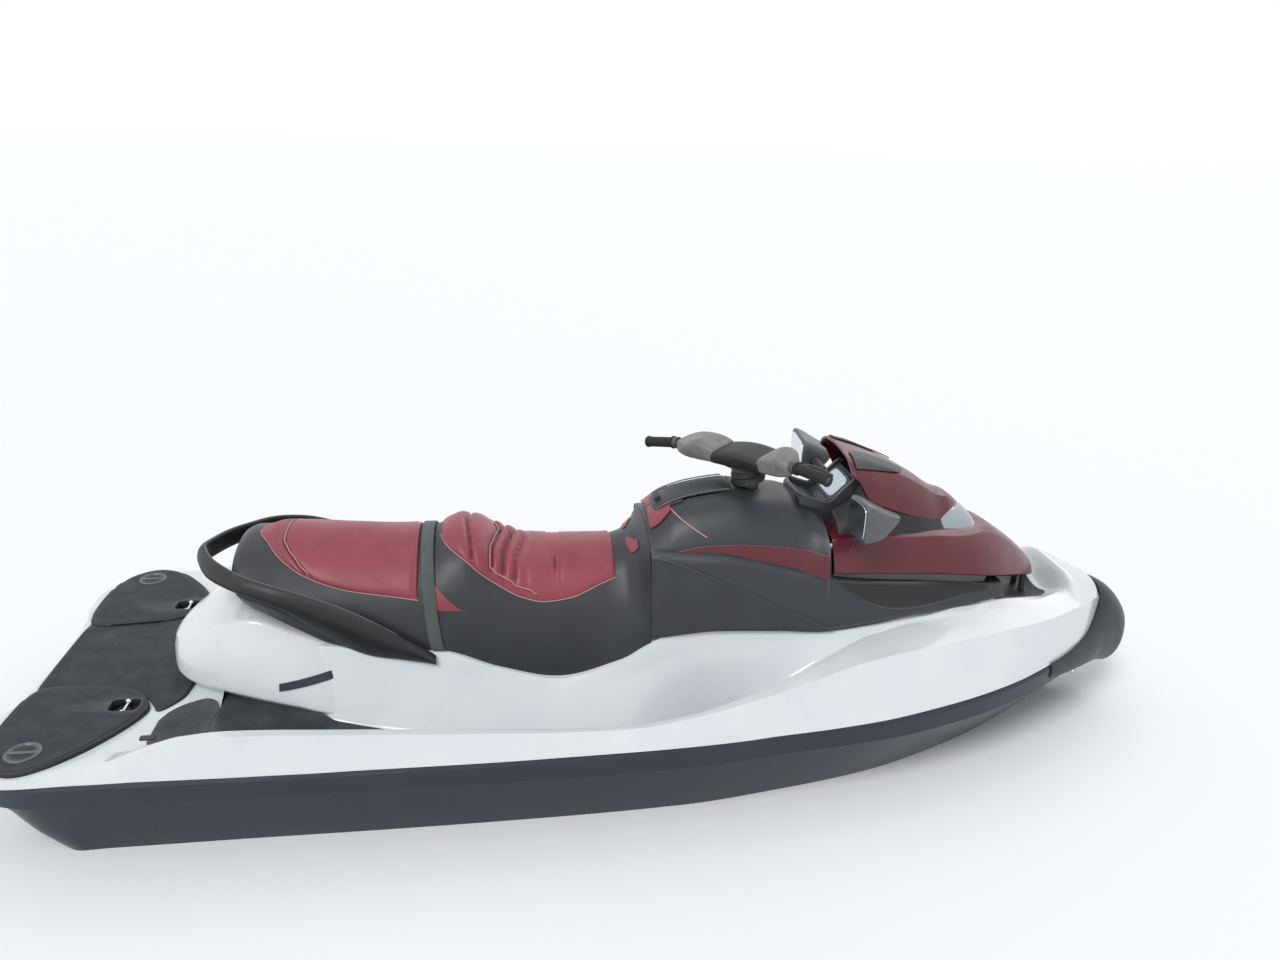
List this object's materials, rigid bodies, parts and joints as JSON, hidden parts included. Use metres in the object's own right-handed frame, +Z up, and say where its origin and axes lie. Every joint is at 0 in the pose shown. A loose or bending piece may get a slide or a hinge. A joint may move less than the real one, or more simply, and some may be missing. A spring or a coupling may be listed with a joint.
{
  "type": "three-seat personal watercraft",
  "caption": "Sit-on jet-drive watercraft with long stepped seat, swept handlebar, hinged front hood with mirrors, grab rail and stern platform, afloat.",
  "frame": {"origin": "on the waterline at mid-length, on the centre plane", "axes": "+X towards the bow, +Y to port, +Z up"},
  "size_m": [3.54, 1.224, 1.2459],
  "materials": {
    "white": "gelcoat, polished",
    "navy": "dark gelcoat",
    "black": "moulded black plastic",
    "charcoal": "grey moulded plastic",
    "maroon": "painted plastic",
    "rubber": "textured traction mat",
    "vinyl_red": "marine vinyl, red and grey",
    "strap": "webbing",
    "metal": "cast and machined",
    "steel": "polished stainless steel",
    "glass": "clear plastic",
    "mirror": "mirror glass",
    "grip": "soft grip rubber",
    "iron": "painted castings"
  },
  "bodies": {
    "craft": {"hull": "navy", "deck": "white", "bow_bumper": "navy", "sponsons": "black", "ride_plate": "metal", "intake_grate": "metal", "pump_housing": "metal", "engine": "iron", "footwell_mats": "rubber", "centre_mat": "rubber", "side_mats": "rubber", "ring_caps": "steel", "mooring_bars": "steel", "grab_rail": "black", "seat_rear": "vinyl_red", "seat_front": "vinyl_red", "seat_strap": "strap", "side_panel_port": "charcoal", "side_panel_starboard": "charcoal", "steering_column": "black", "console": "maroon", "gauge_pod": "black", "gauge_glass": "glass", "storage_bin": "black", "hood_hinge": "steel", "bow_eye": "steel", "stern_eyes": "steel", "drain_plugs": "black", "fuel_cap": "black"},
    "steering": {"handlebar": "metal", "grips": "grip", "levers": "black", "bar_cover": "charcoal"},
    "nozzle": {"nozzle": "black"},
    "reverse_gate": {"reverse_gate": "metal"},
    "impeller": {"impeller": "steel", "drive_shaft": "steel"},
    "hood": {"hood_nose": "maroon", "hood_cover": "maroon", "hood_core": "black", "hood_lens": "glass", "mirror_housings": "black", "mirror_glass": "mirror"},
    "glovebox_lid": {"glovebox_lid": "black"},
    "boarding_step": {"boarding_step": "black"}
  },
  "joints": [
    {"name": "steering_turn", "type": "hinge", "parent": "craft", "child": "steering", "pos_m": [0.364, 0, 0.8], "axis": [-0.2079, 0, 0.9781], "range_deg": [-68, 0]},
    {"name": "nozzle_turn", "type": "hinge", "parent": "craft", "child": "nozzle", "pos_m": [-1.512, 0, -0.1], "axis": [0, 0, 1], "range_deg": [0, 44]},
    {"name": "reverse_gate_turn", "type": "hinge", "parent": "craft", "child": "reverse_gate", "pos_m": [-1.52, 0, -0.1], "axis": [0, -1, 0], "range_deg": [0, 65]},
    {"name": "impeller_spin", "type": "hinge", "parent": "craft", "child": "impeller", "pos_m": [-1.25, 0, -0.1], "axis": [1, 0, 0], "continuous": true},
    {"name": "hood_hinge_turn", "type": "hinge", "parent": "craft", "child": "hood", "pos_m": [1.34, 0, 0.446], "axis": [0, 1, 0], "range_deg": [0, 60]},
    {"name": "glovebox_hinge_turn", "type": "hinge", "parent": "craft", "child": "glovebox_lid", "pos_m": [0.304, 0, 0.796], "axis": [0, 1, 0], "range_deg": [0, 22]},
    {"name": "boarding_step_turn", "type": "hinge", "parent": "craft", "child": "boarding_step", "pos_m": [-1.52, 0, -0.09], "axis": [0, -1, 0], "range_deg": [0, 120]}
  ],
  "couplings": [
    {"joint": "nozzle_turn", "follows": "steering_turn", "ratio": -0.647}
  ]
}
